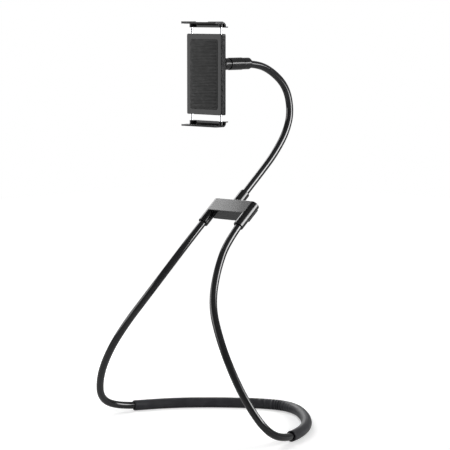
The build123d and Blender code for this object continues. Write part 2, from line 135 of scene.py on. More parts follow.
class Relief(Enum):
    """Fine relief that a surface got when it was made."""

    RIPPLE = "slow ripple of an extruded or moulded skin"
    GRAIN = "even grain of a spark-eroded mould"
    CELLS = "cells under the skin of foam"
    DRAWN = "rings left by drawing or turning"


@dataclass(frozen=True)
class Finish:
    """One material: its colours, its gloss and the fine relief that breaks its highlights.

    Attributes:
        name: the material's common name.
        dark: colour of its darker patches.
        light: colour of its lighter patches.
        smooth: roughness of its glossiest patches.
        rough: roughness of its dullest patches.
        patch_mm: size of the patches.
        relief: kind of fine relief.
        relief_mm: spacing of the relief.
        depth_mm: height of the relief.
        metallic: one for a bare metal.
        specular: strength of the skin's reflection.
        sheen: strength of the soft edge glow of a foam or fibre.
    """

    name: str
    dark: str
    light: str
    smooth: float
    rough: float
    patch_mm: float
    relief: Relief
    relief_mm: float
    depth_mm: float
    metallic: float = 0.0
    specular: float = 0.5
    sheen: float = 0.0

    def material(self) -> bpy.types.Material:
        """Build the node material of this finish.

        Returns:
            The new material.
        """
        material = bpy.data.materials.new(self.name)
        material.use_nodes = True
        tree = material.node_tree
        tree.nodes.clear()
        place = add_node(tree, "ShaderNodeTexCoord").outputs["Object"]
        patches = add_node(tree, "ShaderNodeTexNoise", Vector=place, Scale=1 / (self.patch_mm * MM),
                           Detail=4.0).outputs["Fac"]
        tint = add_node(tree, "ShaderNodeValToRGB", Fac=patches)
        for stop, edge, colour in zip(tint.color_ramp.elements, TINT_EDGES, (self.dark, self.light)):
            stop.position = edge
            stop.color = linear(colour)
        gloss = add_node(tree, "ShaderNodeMapRange", Value=patches, From_Min=GLOSS_EDGES[0],
                         From_Max=GLOSS_EDGES[1], To_Min=self.smooth, To_Max=self.rough)
        bump = add_node(tree, "ShaderNodeBump", Strength=1.0, Distance=self.depth_mm * MM,
                        Height=self.height(tree, place))
        shader = add_node(tree, "ShaderNodeBsdfPrincipled", Base_Color=tint.outputs["Color"],
                          Metallic=self.metallic, Roughness=gloss.outputs["Result"],
                          Specular_IOR_Level=self.specular, Sheen_Weight=self.sheen,
                          Normal=bump.outputs["Normal"])
        add_node(tree, "ShaderNodeOutputMaterial", Surface=shader.outputs["BSDF"])
        return material

    def height(self, tree: bpy.types.NodeTree, place: bpy.types.NodeSocket) -> bpy.types.NodeSocket:
        """Add the texture of the fine relief.

        Args:
            tree: node tree of the material.
            place: coordinates of the surface.

        Returns:
            The relief's height, from zero to one.
        """
        scale = 1 / (self.relief_mm * MM)
        if self.relief is Relief.CELLS:
            cells = add_node(tree, "ShaderNodeTexVoronoi", {"feature": "SMOOTH_F1"}, Vector=place,
                             Scale=scale)
            return cells.outputs["Distance"]
        if self.relief is Relief.DRAWN:
            wave = add_node(tree, "ShaderNodeTexWave", {"bands_direction": "Z"}, Vector=place,
                            Scale=scale * WAVE_SCALE, Distortion=1.5, Detail=2.0)
            return wave.outputs["Fac"]
        detail = 1.0 if self.relief is Relief.RIPPLE else 3.0
        return add_node(tree, "ShaderNodeTexNoise", Vector=place, Scale=scale, Detail=detail).outputs["Fac"]


FINISHES: dict[str, Finish] = {
    # Extruded PVC skin of the tubes: deep black and glossy, with a slow ripple that lets long highlights
    # waver.
    "sleeve": Finish("extruded black PVC", "#121214", "#161618", 0.05, 0.08, 22.0, Relief.RIPPLE, 12.0,
                     0.004),
    # Polished ABS mouldings: black and glossy, softened a little by the mould.
    "moulding": Finish("polished black ABS", "#121213", "#161617", 0.14, 0.19, 14.0, Relief.RIPPLE, 9.0,
                       0.004, specular=0.4),
    # Fine-grained ABS of the clamp: black with a low gloss that mirrors the room dimly. The grain is drawn
    # coarser than the real 0.2 mm so that it shows.
    "shell": Finish("grained black ABS", "#131314", "#181819", 0.09, 0.13, 9.0, Relief.GRAIN, 0.8, 0.0015,
                    specular=0.25),
    # Closed-cell foam rubber with a skin: soft black with a broad sheen, and cells that show faintly
    # through it, drawn larger than the real half millimetre.
    "foam": Finish("skinned black foam rubber", "#2c2c2f", "#343437", 0.4, 0.48, 13.0, Relief.CELLS, 1.4,
                   0.012, specular=0.16, sheen=0.02),
    # Moulded silicone of the grips: dull black that takes dust, with a coarse enough grain to show.
    "grip": Finish("black silicone", "#101010", "#1b1b1b", 0.5, 0.66, 6.0, Relief.GRAIN, 0.6, 0.03,
                   specular=0.4),
    # Chromed rod: mirror bright, with faint rings that are drawn coarser than real ones so that they show.
    "rod": Finish("chromed steel rod", "#c9cacc", "#d6d7d9", 0.07, 0.14, 5.0, Relief.DRAWN, 0.8, 0.003,
                  metallic=1.0),
    # Zinc-plated steel of screws, washers and springs: grey and slightly cloudy, with coarsened rings.
    "steel": Finish("zinc-plated steel", "#a3a6a8", "#bcbfc0", 0.22, 0.36, 3.0, Relief.DRAWN, 0.5, 0.01,
                    metallic=1.0),
    # Turned brass of the bushes: warm, with fine rings.
    "bush": Finish("turned brass", "#b08d4a", "#c4a25e", 0.2, 0.32, 3.0, Relief.DRAWN, 0.4, 0.01,
                   metallic=1.0),
    # Moulded acetal of the ball's liner: black and waxy, between dull and glossy.
    "liner": Finish("black acetal", "#141414", "#1a1a1a", 0.4, 0.5, 4.0, Relief.RIPPLE, 3.0, 0.01),
    # Drawn aluminium wire of the tubes' cores: pale grey, with coarsened rings.
    "core": Finish("drawn aluminium", "#b4b6b8", "#c6c8ca", 0.28, 0.4, 6.0, Relief.DRAWN, 0.7, 0.01,
                   metallic=1.0),
    # Blackened crimp sleeves on the tube ends: dark metal with a dull shine and coarsened rings.
    "crimp": Finish("blackened steel crimp", "#161617", "#1e1e20", 0.3, 0.42, 4.0, Relief.DRAWN, 0.6, 0.01,
                    metallic=0.6),
}


def piece(shape: bmesh.types.BMesh, name: str, material: bpy.types.Material,
          crease_deg: float = 40.0) -> bpy.types.Object:
    """Turn a finished bmesh into an object of the scene.

    Args:
        shape: the bmesh, which is freed.
        name: name of the object.
        material: its material.
        crease_deg: edges sharper than this stay crisp.

    Returns:
        The new object.
    """
    bmesh.ops.recalc_face_normals(shape, faces=shape.faces)
    mesh = bpy.data.meshes.new(name)
    shape.to_mesh(mesh)
    shape.free()
    mesh.materials.append(material)
    mesh.shade_smooth()
    mesh.set_sharp_from_angle(angle=math.radians(crease_deg))
    made = bpy.data.objects.new(name, mesh)
    bpy.context.scene.collection.objects.link(made)
    LOG.info("%s: %d faces", name, len(mesh.polygons))
    return made


def stands_for(made: bpy.types.Object, slot: str, *nodes: str) -> None:
    """Hide the CAD nodes that a new piece takes the place of."""
    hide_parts(*nodes)


def verts_of(geometry: Iterable[object]) -> list[bmesh.types.BMVert]:
    """The vertices in what an operator returned."""
    return [item for item in geometry if isinstance(item, bmesh.types.BMVert)]


def ring_edges(geometry: Iterable[object]) -> tuple[list[bmesh.types.BMVert], list[bmesh.types.BMEdge]]:
    """Sort what an extrusion returned.

    Args:
        geometry: what the operator returned.

    Returns:
        The new ring's vertices and its edges.
    """
    verts = verts_of(geometry)
    fresh = set(verts)
    edges = [item for item in geometry
             if isinstance(item, bmesh.types.BMEdge) and fresh.issuperset(item.verts)]
    return verts, edges


def skin(rings: Sequence[Matrix], sides: int) -> bmesh.types.BMesh:
    """Skin a run of rings, each extruded from the one before.

    Args:
        rings: placed frames, whose scale is the ring's radius.
        sides: points round each ring.

    Returns:
        An open tube.
    """
    shape = bmesh.new()
    bmesh.ops.create_circle(shape, segments=sides, radius=1.0, matrix=rings[0])
    edges = list(shape.edges)
    for before, ring in zip(rings, rings[1:]):
        verts, edges = ring_edges(bmesh.ops.extrude_edge_only(shape, edges=edges)["geom"])
        bmesh.ops.transform(shape, matrix=ring @ before.inverted(), verts=verts)
    return shape


def capped(shape: bmesh.types.BMesh) -> bmesh.types.BMesh:
    """Close the open ends of a tube."""
    bmesh.ops.holes_fill(shape, edges=[edge for edge in shape.edges if edge.is_boundary], sides=0)
    return shape


def everything(shape: bmesh.types.BMesh) -> list[object]:
    """All vertices, edges and faces of a bmesh."""
    return [*shape.verts, *shape.edges, *shape.faces]


def score(shape: bmesh.types.BMesh, normal: Vector, offset: float) -> None:
    """Cut the faces of a bmesh along a plane and keep both sides."""
    bmesh.ops.bisect_plane(shape, geom=everything(shape), plane_co=normal * offset, plane_no=normal)


def copies(shape: bmesh.types.BMesh, shifts: Iterable[Vector]) -> None:
    """Repeat all that a bmesh holds.

    Args:
        shape: the bmesh, which keeps its first copy where it is.
        shifts: where each further copy goes.
    """
    first = everything(shape)
    for shift in shifts:
        fresh = bmesh.ops.duplicate(shape, geom=first)["geom"]
        bmesh.ops.translate(shape, vec=shift, verts=verts_of(fresh))


@dataclass
class Route:
    """Smooth centre line of a bent tube.

    Attributes:
        points: control points in millimetres.
        steps: points of the line for each control point.
    """

    points: Sequence[Point]
    steps: int = 16

    def line(self) -> list[Vector]:
        """Read the line from a NURBS curve on the control points.

        Returns:
            Points along the line, in metres.
        """
        curve = bpy.data.curves.new("route", "CURVE")
        curve.dimensions = "3D"
        spline = curve.splines.new("NURBS")
        spline.points.add(len(self.points) - 1)
        for control, point in zip(spline.points, self.points):
            control.co = (*(Vector(point) * MM), 1.0)
        spline.order_u = 3
        spline.use_endpoint_u = True
        spline.resolution_u = self.steps
        holder = bpy.data.objects.new("route", curve)
        mesh = bpy.data.meshes.new_from_object(holder)
        line = [vertex.co.copy() for vertex in mesh.vertices]
        bpy.data.objects.remove(holder)
        bpy.data.meshes.remove(mesh)
        bpy.data.curves.remove(curve)
        return line


def frames(line: Sequence[Vector]) -> list[Matrix]:
    """Frames along a line that turn with it and don't twist.

    Args:
        line: points along the line.

    Returns:
        One frame for each point, with its local Z along the line.
    """
    ahead = [*line[1:], line[-1]]
    behind = [line[0], *line[:-1]]
    tangents = [(b - a).normalized() for a, b in zip(behind, ahead)]
    side = tangents[0].orthogonal().normalized()
    result = []
    for place, tangent in zip(line, tangents):
        side = (side - tangent * side.dot(tangent)).normalized()
        frame = Matrix((side, tangent.cross(side), tangent)).transposed().to_4x4()
        frame.translation = place
        result.append(frame)
    return result


def distances(line: Sequence[Vector]) -> list[float]:
    """Measure along a line.

    Args:
        line: points along the line.

    Returns:
        The distance from its start at each of its points.
    """
    total = 0.0
    result = [total]
    for before, after in zip(line, line[1:]):
        total += (after - before).length
        result.append(total)
    return result


@dataclass
class SubAssembly:
    """A group of pieces that is put together on the bench.

    Attributes:
        materials: materials by the record's slots.
        solids: its CAD nodes that keep their own shape.
    """

    materials: Materials
    solids: Sequence[str] = ()

    def dress(self, frame: dict[str, object]) -> None:
        """Give each CAD node the material of its slot in the record.

        Args:
            frame: the loaded frame.
        """
        slots = {part["node"]: part["material_slot"] for part in frame["record"]["subparts"]}
        for name in self.solids:
            material = self.materials[slots[name]]
            mesh = frame["nodes"][name].data
            mesh.materials.clear()
            mesh.materials.append(material)
            LOG.info("%s: %s", name, material.name)


@dataclass(frozen=True)
class Crease:
    """One short wrinkle across the foam pad.

    Attributes:
        place_mm: distance along the pad from its middle.
        depth_mm: how deep it dips.
        width_mm: half of its width.
        lean_mm: how far its upper end is shifted along the pad.
        lip: height of the lips beside it, as a share of its depth.
        lip_place: how far from its middle they rise, in half widths.
    """

    place_mm: float
    depth_mm: float
    width_mm: float
    lean_mm: float
    lip: float = 0.45
    lip_place: float = 1.7

    def shift_mm(self, place_mm: float, upward: float) -> float:
        """Find how far the wrinkle moves the skin.

        Args:
            place_mm: distance of the skin's point along the pad from its middle.
            upward: how much the skin faces up there, from minus one to one.

        Returns:
            The shift outwards in millimetres, negative in the wrinkle itself.
        """
        off = (place_mm - self.place_mm - self.lean_mm * upward) / self.width_mm
        lips = self.lip * math.exp(-(abs(off) - self.lip_place) ** 2)
        return self.depth_mm * (lips - math.exp(-off * off))


@dataclass
class Stand(SubAssembly):
    """The loop of tube that stands on its foam pad and carries the bracket.

    Attributes:
        tube_d_mm: diameter of the tube.
        leg_points: route of the right half, from the bracket round to the middle of the back.
        pad_d_mm: diameter of the foam pad.
        pad_length_mm: length of the pad along the tube.
        pad_bore_mm: diameter of the hole along the pad.
        pad_flare_mm: how much wider the hole is at the cut ends.
        pad_edge_mm: rounding of the pad's cut ends.
        pad_wave_mm: uneven swell of the foam.
        pad_wave_pitch_mm: size of the swell's waves.
        creases: wrinkles on the inside of the pad's bend.
        crease_side: direction that the wrinkled side faces.
        crease_fade: how much the skin faces that way where the wrinkles end, and where they are full.
        sides: points round the tube.
        pad_sides: points round the pad.
        bore_step: rings of the pad's skin for each ring of its hole.
        line: the loop's centre line.
    """

    tube_d_mm: float = 10.8
    leg_points: Sequence[Point] = (
        (36.0, 3.8, 313.8), (36.0, -41.4, 275.9), (47.6, -76.1, 234.0), (66.8, -104.8, 189.6),
        (94.9, -119.0, 149.5), (124.6, -125.6, 107.5), (152.3, -121.6, 62.9), (172.5, -102.0, 22.5),
        (170.3, -62.2, 7.5), (142.2, 7.3, 7.5), (93.7, 64.3, 7.5), (25.3, 114.3, 7.5),
    )
    pad_d_mm: float = 15.6
    pad_length_mm: float = 474.0
    pad_bore_mm: float = 11.0
    pad_flare_mm: float = 1.4
    pad_edge_mm: float = 0.7
    pad_wave_mm: float = 0.12
    pad_wave_pitch_mm: float = 24.0
    creases: Sequence[Crease] = (
        Crease(1.5, 0.6, 1.4, 0.6), Crease(6.5, 0.9, 1.5, -0.5), Crease(11.0, 0.7, 1.3, 0.7),
        Crease(16.0, 0.95, 1.6, 0.4), Crease(23.0, 0.45, 1.6, -0.8), Crease(33.5, 0.8, 1.8, 0.6),
        Crease(43.0, 0.45, 2.0, 0.3), Crease(-6.0, 0.4, 1.7, -0.4), Crease(-21.0, 0.3, 2.0, 0.5),
    )
    crease_side: Point = (0.0, -1.0, 0.25)
    crease_fade: Span = (-0.2, 0.5)
    sides: int = 32
    pad_sides: int = 56
    bore_step: int = 5
    line: list[Vector] = field(default_factory=list)

    def build(self) -> None:
        """Make the loop's tube and its pad."""
        left = [(-x, y, z) for x, y, z in reversed(self.leg_points)]
        self.line = Route([*self.leg_points, *left]).line()
        radius = self.tube_d_mm / 2 * MM
        rings = [frame @ Matrix.Scale(radius, 4) for frame in frames(self.line)]
        tube = piece(capped(skin(rings, self.sides)), "loop_tube", self.materials["sleeve"])
        stands_for(tube, "sleeve", "loop_sleeve", "loop_core")
        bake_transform(tube)
        self.build_pad()

    def pad_line(self) -> list[Vector]:
        """Cut the part that the pad covers out of the loop's line.

        Returns:
            Points along the pad, a millimetre apart.
        """
        along = distances(self.line)
        middle = along[-1] / 2
        half = self.pad_length_mm / 2 * MM
        count = round(2 * half / MM)
        targets = [middle - half + 2 * half * i / count for i in range(count + 1)]
        result = []
        index = 0
        for target in targets:
            while along[index + 1] < target:
                index += 1
            share = (target - along[index]) / (along[index + 1] - along[index])
            result.append(self.line[index].lerp(self.line[index + 1], share))
        return result

    def build_pad(self) -> None:
        """Make the foam sleeve with its bore, its soft cut ends and its wrinkles."""
        line = self.pad_line()
        placed = frames(line)
        outer = self.pad_d_mm / 2 * MM
        bore = self.pad_bore_mm / 2 * MM
        mouth = bore + self.pad_flare_mm / 2 * MM
        edge = self.pad_edge_mm * MM
        along = distances(line)
        rings = [placed[0] @ Matrix.Scale(mouth, 4), placed[0] @ Matrix.Scale(outer - edge, 4)]
        for frame, distance in zip(placed[1:-1], along[1:-1]):
            inset = min(distance, along[-1] - distance)
            drop = edge - math.sqrt(max(0.0, edge ** 2 - max(0.0, edge - inset) ** 2))
            rings.append(frame @ Matrix.Scale(outer - drop, 4))
        rings += [placed[-1] @ Matrix.Scale(outer - edge, 4), placed[-1] @ Matrix.Scale(mouth, 4)]
        step = self.bore_step
        rings += [frame @ Matrix.Scale(bore, 4) for frame in reversed(placed[step:-step:step])]
        rings += [rings[0]]
        shape = skin(rings, self.pad_sides)
        bmesh.ops.remove_doubles(shape, verts=shape.verts, dist=WELD_M)
        self.wrinkle(shape, line, along)
        pad = piece(shape, "foam_neck_pad", self.materials["foam"], crease_deg=55.0)
        stands_for(pad, "foam", "neck_pad")
        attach(pad, "stand")

    def wrinkle(self, shape: bmesh.types.BMesh, line: Sequence[Vector], along: Sequence[float]) -> None:
        """Press the creases into the pad's skin, let it swell unevenly, and flatten it on the floor.

        Args:
            shape: the pad.
            line: its centre line.
            along: distance along the line at each of its points.
        """
        places = kdtree.KDTree(len(line))
        for index, point in enumerate(line):
            places.insert(point, index)
        places.balance()
        inward = Vector(self.crease_side).normalized()
        none, full = self.crease_fade
        skin_r = (self.pad_d_mm + self.pad_bore_mm + self.pad_flare_mm) / 4 * MM
        for vertex in shape.verts:
            centre, index, reach = places.find(vertex.co)
            if reach < skin_r:
                continue
            outward = (vertex.co - centre) / reach
            place_mm = (along[index] - along[-1] / 2) / MM
            shift = self.pad_wave_mm * noise.noise(vertex.co / (self.pad_wave_pitch_mm * MM))
            facing = outward.dot(inward)
            if facing > none:
                fade = min(1.0, (facing - none) / (full - none)) ** 2
                shift += fade * sum(crease.shift_mm(place_mm, outward.z) for crease in self.creases)
            vertex.co += outward * shift * MM
        for vertex in shape.verts:
            vertex.co.z = max(vertex.co.z, 0.0)


@dataclass
class Bracket(SubAssembly):
    """The moulded block that joins both ends of the loop and the foot of the arm."""

    solids: Sequence[str] = ("bracket", "loop_end_ferrules", "arm_root_ferrule")


@dataclass
class Arm(SubAssembly):
    """The gooseneck arm, in two lengths, with the joints at its foot and at its tip.

    Attributes:
        tube_d_mm: diameter of the tube.
        points: route from the bracket to the ball joint.
        parting_m: height where the two lengths meet, on the way up.
        sides: points round the tube.
    """

    tube_d_mm: float = 10.8
    points: Sequence[Point] = (
        (0.0, 7.6, 317.0), (0.0, 68.6, 368.2), (0.0, 94.7, 392.6), (0.0, 116.9, 420.9), (0.0, 126.6, 451.5),
        (0.0, 116.6, 488.5), (0.0, 81.0, 514.6), (0.0, 45.75, 524.0), (0.0, 5.75, 524.0),
    )
    parting_m: float = 0.428
    sides: int = 32

    def build(self) -> None:
        """Make both lengths of the arm."""
        placed = frames(Route(self.points).line())
        radius = self.tube_d_mm / 2 * MM
        rings = [frame @ Matrix.Scale(radius, 4) for frame in placed]
        parting = next(i for i, frame in enumerate(placed) if frame.translation.z > self.parting_m)
        foot = piece(capped(skin(rings[:parting + 1], self.sides)), "arm_tube_foot", self.materials["sleeve"])
        stands_for(foot, "sleeve", "arm_sleeve")
        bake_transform(foot)
        tip = piece(capped(skin(rings[parting:], self.sides)), "arm_tube_tip", self.materials["sleeve"])
        stands_for(tip, "sleeve", "arm_core")
        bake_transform(tip)


@dataclass
class BallJoint(SubAssembly):
    """The end fitting with its lock nut, the lined ball and the swivel that carries the clamp."""

    solids: Sequence[str] = ("ball_socket", "ball_lock_nut", "tube_collar", "ball_liner", "ball_stud",
                             "stud_washer", "stud_screw")


@dataclass(frozen=True)
class RibbedSheet:
    """Rubber sheet with rounded corners and low ribs across its face.

    Attributes:
        corner_mm: rounding of its corners.
        border_mm: plain margin round the ribs.
        pitch_mm: spacing of the ribs.
        rise_mm: height of the ribs, taken from the sheet's thickness.
        slope_mm: run of a rib's sloping sides.
        edge_mm: softening of its edges.
        sharp_rad: edges that turn more than this are softened.
        corner_steps: faces round each corner.
    """

    corner_mm: float
    border_mm: float
    pitch_mm: float
    rise_mm: float
    slope_mm: float
    edge_mm: float = 0.12
    sharp_rad: float = 0.5
    corner_steps: int = 6

    def shape(self, across: float, along: float, thickness: float) -> bmesh.types.BMesh:
        """Model the sheet on the plane Z = 0 with its ribs upwards, the ribs running along X.

        Args:
            across: size along X.
            along: size along Y.
            thickness: height with the ribs.

        Returns:
            The closed sheet.
        """
        sheet = bmesh.new()
        bmesh.ops.create_grid(sheet, x_segments=1, y_segments=1, size=0.5)
        bmesh.ops.scale(sheet, vec=(across, along, 1.0), verts=sheet.verts)
        bmesh.ops.bevel(sheet, geom=sheet.verts[:], offset=self.corner_mm * MM, segments=self.corner_steps,
                        profile=0.5, affect="VERTICES", material=-1)
        border = self.border_mm * MM
        half_rows = round((along - 2 * border) / (self.pitch_mm * MM)) * 2 + 1
        step = (along - 2 * border) / half_rows
        for side in (-1, 1):
            score(sheet, X_AXIS, side * (across / 2 - border))
        for row in range(half_rows + 1):
            score(sheet, Y_AXIS, border - along / 2 + row * step)
        top = bmesh.ops.extrude_face_region(sheet, geom=sheet.faces[:])["geom"]
        bmesh.ops.translate(sheet, vec=(0, 0, thickness - self.rise_mm * MM), verts=verts_of(top))
        ribs = []
        for face in top:
            if not isinstance(face, bmesh.types.BMFace):
                continue
            middle = face.calc_center_median()
            row = math.floor((middle.y + along / 2 - border) / step)
            if abs(middle.x) < across / 2 - border and 0 <= row < half_rows and row % 2 == 0:
                ribs.append(face)
        bmesh.ops.recalc_face_normals(sheet, faces=sheet.faces)
        bmesh.ops.inset_individual(sheet, faces=ribs, thickness=self.slope_mm * MM, depth=self.rise_mm * MM)
        sharp = [edge for edge in sheet.edges if edge.is_manifold and edge.calc_face_angle() > self.sharp_rad]
        bmesh.ops.bevel(sheet, geom=sharp, offset=self.edge_mm * MM, segments=2, profile=0.5, affect="EDGES",
                        material=-1, clamp_overlap=True)
        return sheet


def node_box(node: str) -> tuple[Vector, Vector]:
    """Middle and size of a CAD node's box."""
    low, high = (Vector(corner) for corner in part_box(node))
    return (low + high) / 2, high - low


@dataclass
class Clamp(SubAssembly):
    """The clamp's body: housing, cover, rubber front pad, screws and bushes.

    Attributes:
        front_pad: the ribbed rubber on the front.
        post_x_mm: half of the screws' spacing across.
        post_z_mm: half of the screws' spacing upwards.
        head_r_mm: radius of a screw head.
        head_mm: height of a screw head.
        crown_mm: how far the head domes.
        shank_r_mm: radius of a screw's shank.
        slot_mm: half width of the cross recess.
        slot_reach_mm: half length of the cross recess.
        slot_depth_mm: depth of the cross recess.
        slot_taper: size of the recess at its bottom, as a share of its size at the top.
        head_sides: points round a screw head.
    """

    solids: Sequence[str] = ("clamp_rear_housing", "clamp_front_cover", "rod_bushes")
    front_pad: RibbedSheet = RibbedSheet(4.0, 3.2, 5.0, 0.45, 0.5)
    post_x_mm: float = 20.0
    post_z_mm: float = 40.0
    head_r_mm: float = 2.2
    head_mm: float = 1.0
    crown_mm: float = 0.18
    shank_r_mm: float = 1.1
    slot_mm: float = 0.34
    slot_reach_mm: float = 1.3
    slot_depth_mm: float = 0.6
    slot_taper: float = 0.75
    head_sides: int = 32

    def build(self) -> None:
        """Make the front pad and the screws."""
        middle, size = node_box("clamp_front_pad")
        sheet = self.front_pad.shape(size.x, size.z, size.y)
        place = Matrix.Translation(middle + Vector((0, size.y / 2, 0))) @ Matrix.Rotation(math.pi / 2, 4, "X")
        bmesh.ops.transform(sheet, matrix=place, verts=sheet.verts)
        pad = piece(sheet, "ribbed_front_pad", self.materials["grip"], crease_deg=60.0)
        stands_for(pad, "grip", "clamp_front_pad")
        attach(pad, "clamp")
        self.build_screws()

    def build_screws(self) -> None:
        """Make the four cross-headed screws in the back of the housing."""
        middle, size = node_box("housing_screws")
        screw = self.screw(size.y - self.head_mm * MM)
        corner = Vector((-self.post_x_mm * MM, middle.y + size.y / 2, middle.z - self.post_z_mm * MM))
        place = Matrix.Translation(corner) @ Matrix.Rotation(-math.pi / 2, 4, "X")
        bmesh.ops.transform(screw, matrix=place, verts=screw.verts)
        across = Vector((2 * self.post_x_mm * MM, 0, 0))
        upwards = Vector((0, 0, 2 * self.post_z_mm * MM))
        copies(screw, (across, upwards, across + upwards))
        screws = piece(screw, "cross_head_screws", self.materials["steel"])
        stands_for(screws, "steel", "housing_screws")
        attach(screws, "clamp")

    def screw(self, shank: float) -> bmesh.types.BMesh:
        """Model one screw along Z with the top of its domed head at the origin.

        Args:
            shank: length of the shank.

        Returns:
            The closed screw.
        """
        head_r = self.head_r_mm * MM
        slot = self.slot_mm * MM
        reach = self.slot_reach_mm * MM
        shape = bmesh.new()
        bmesh.ops.create_circle(shape, cap_ends=True, segments=self.head_sides, radius=head_r)
        for normal in (X_AXIS, Y_AXIS):
            for offset in (-reach, -slot, slot, reach):
                score(shape, normal, offset)
        for vertex in shape.verts:
            vertex.co.z = -self.crown_mm * MM * vertex.co.length_squared / head_r ** 2
        cross = []
        for face in shape.faces:
            middle = face.calc_center_median()
            near, far = sorted((abs(middle.x), abs(middle.y)))
            if near < slot and far < reach:
                cross.append(face)
        edges = [edge for edge in shape.edges if edge.is_boundary]
        floor = verts_of(bmesh.ops.extrude_face_region(shape, geom=cross)["geom"])
        bmesh.ops.translate(shape, vec=(0, 0, -self.slot_depth_mm * MM), verts=floor)
        bmesh.ops.scale(shape, vec=(self.slot_taper, self.slot_taper, 1.0), verts=floor)
        shank_share = self.shank_r_mm / self.head_r_mm
        for drop, share in (((self.head_mm - self.crown_mm) * MM, 1.0), (0.0, shank_share), (shank, 1.0)):
            verts, edges = ring_edges(bmesh.ops.extrude_edge_only(shape, edges=edges)["geom"])
            bmesh.ops.scale(shape, vec=(share, share, 1.0), verts=verts)
            bmesh.ops.translate(shape, vec=(0, 0, -drop), verts=verts)
        return capped(shape)


class End(Enum):
    """The two ends of the clamp, with the direction in which each jaw opens."""

    UPPER = 1.0
    LOWER = -1.0


@dataclass
class Jaw(SubAssembly):
    """One sprung jaw with its grip strip, its rods and the coil springs that pull it in.

    Attributes:
        end: the end of the clamp that it sits on.
        strip: the ribbed rubber of its grip.
        wire_mm: diameter of the springs' wire.
        turns: working turns of each spring.
        dead_pitch: rise of the closed turn at each end, in wire diameters.
        turn_steps: faces round each turn.
        wire_sides: points round the wire.
        body: name of the jaw's body and of its main CAD node.
    """

    end: End = End.UPPER
    strip: RibbedSheet = RibbedSheet(0.8, 0.8, 2.4, 0.35, 0.3, 0.08)
    wire_mm: float = 0.6
    turns: int = 9
    dead_pitch: float = 1.02
    turn_steps: int = 20
    wire_sides: int = 10
    body: str = field(default="", init=False)

    def __post_init__(self) -> None:
        """Name the jaw's own CAD nodes."""
        self.body = f"{self.end.name.lower()}_jaw"
        self.solids = (self.body, f"{self.end.name.lower()}_guide_rods")

    def build(self) -> None:
        """Make the grip strip and the springs."""
        middle, size = node_box(f"{self.body}_pad")
        sheet = self.strip.shape(size.y, size.x, size.z)
        outward = self.end.value
        turn = Matrix.Rotation(math.pi, 4, "Y") if self.end is End.UPPER else Matrix.Identity(4)
        seat = middle + Vector((0, 0, outward * size.z / 2))
        place = Matrix.Translation(seat) @ turn @ Matrix.Rotation(math.pi / 2, 4, "Z")
        bmesh.ops.transform(sheet, matrix=place, verts=sheet.verts)
        grip = piece(sheet, f"{self.body}_grip_strip", self.materials["grip"], crease_deg=60.0)
        stands_for(grip, "grip", f"{self.body}_pad")
        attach(grip, self.body)
        self.build_springs()

    def build_springs(self) -> None:
        """Wind both springs, each with one end on the body's end wall and one on a rod's head."""
        node = f"{self.body}_springs"
        middle, size = node_box(node)
        coil_r = (size.y - self.wire_mm * MM) / 2
        rod_x = size.x / 2 - size.y / 2
        reach = self.end.value * (size.z / 2 - self.wire_mm / 2 * MM)
        wall = middle.z + reach
        head = middle.z - reach
        spring = self.spring(coil_r, head - wall)
        bmesh.ops.translate(spring, vec=(-rod_x, middle.y, wall), verts=spring.verts)
        copies(spring, [Vector((2 * rod_x, 0, 0))])
        springs = piece(spring, f"{self.body}_coil_springs", self.materials["steel"])
        stands_for(springs, "steel", node)
        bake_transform(springs)

    def spring(self, coil_r: float, rise: float) -> bmesh.types.BMesh:
        """Wind one spring along Z from the origin, with a closed turn at each end.

        Args:
            coil_r: radius of the coil at the wire's middle.
            rise: height from the first wire to the last, negative for a spring that goes down.

        Returns:
            The closed spring.
        """
        shape = bmesh.new()
        upright = Matrix.Translation((coil_r, 0, 0)) @ Matrix.Rotation(math.pi / 2, 4, "X")
        bmesh.ops.create_circle(shape, segments=self.wire_sides, radius=self.wire_mm / 2 * MM, matrix=upright)
        dead = math.copysign(self.wire_mm * self.dead_pitch * MM, rise)
        geometry = [*shape.verts, *shape.edges]
        for turns, height in ((1, dead), (self.turns, rise - 2 * dead), (1, dead)):
            steps = turns * self.turn_steps
            wound = bmesh.ops.spin(shape, geom=geometry, cent=(0, 0, 0), axis=(0, 0, 1),
                                   dvec=(0, 0, height / steps), angle=turns * math.tau, steps=steps,
                                   use_merge=False)
            geometry = wound["geom_last"]
        bmesh.ops.remove_doubles(shape, verts=shape.verts, dist=WELD_M)
        return capped(shape)


@dataclass(frozen=True)
class Lamp:
    """One soft box of the studio.

    Attributes:
        name: name of the lamp.
        turn_deg: direction from its aim, counted from +X towards +Y.
        rise_deg: direction from its aim, counted up from level.
        distance: distance from its aim.
        width: its size across.
        height: its size upwards.
        radiance: brightness of its face, where one is white paper.
        grid_deg: angle off its axis at which a grid cuts its light to nothing.
        aim: the point on or near the object that it faces.
    """

    name: str
    turn_deg: float
    rise_deg: float
    distance: float
    width: float
    height: float
    radiance: float
    grid_deg: float = 90.0
    aim: Point = (0.0, 0.0, 0.42)

    def build(self) -> None:
        """Stand the lamp in the scene, facing its aim."""
        light = bpy.data.lights.new(self.name, "AREA")
        light.shape = "RECTANGLE"
        light.size = self.width
        light.size_y = self.height
        cut = math.radians(self.grid_deg)
        light.spread = 2 * cut
        passed = 1 - cut / math.tan(cut)
        light.energy = self.radiance * math.pi * self.width * self.height * passed
        turn, rise = math.radians(self.turn_deg), math.radians(self.rise_deg)
        away = Vector((math.cos(turn) * math.cos(rise), math.sin(turn) * math.cos(rise), math.sin(rise)))
        lamp = bpy.data.objects.new(self.name, light)
        lamp.location = Vector(self.aim) + away * self.distance
        lamp.rotation_euler = (-away).to_track_quat("-Z", "Y").to_euler()
        lamp.visible_camera = False
        bpy.context.scene.collection.objects.link(lamp)


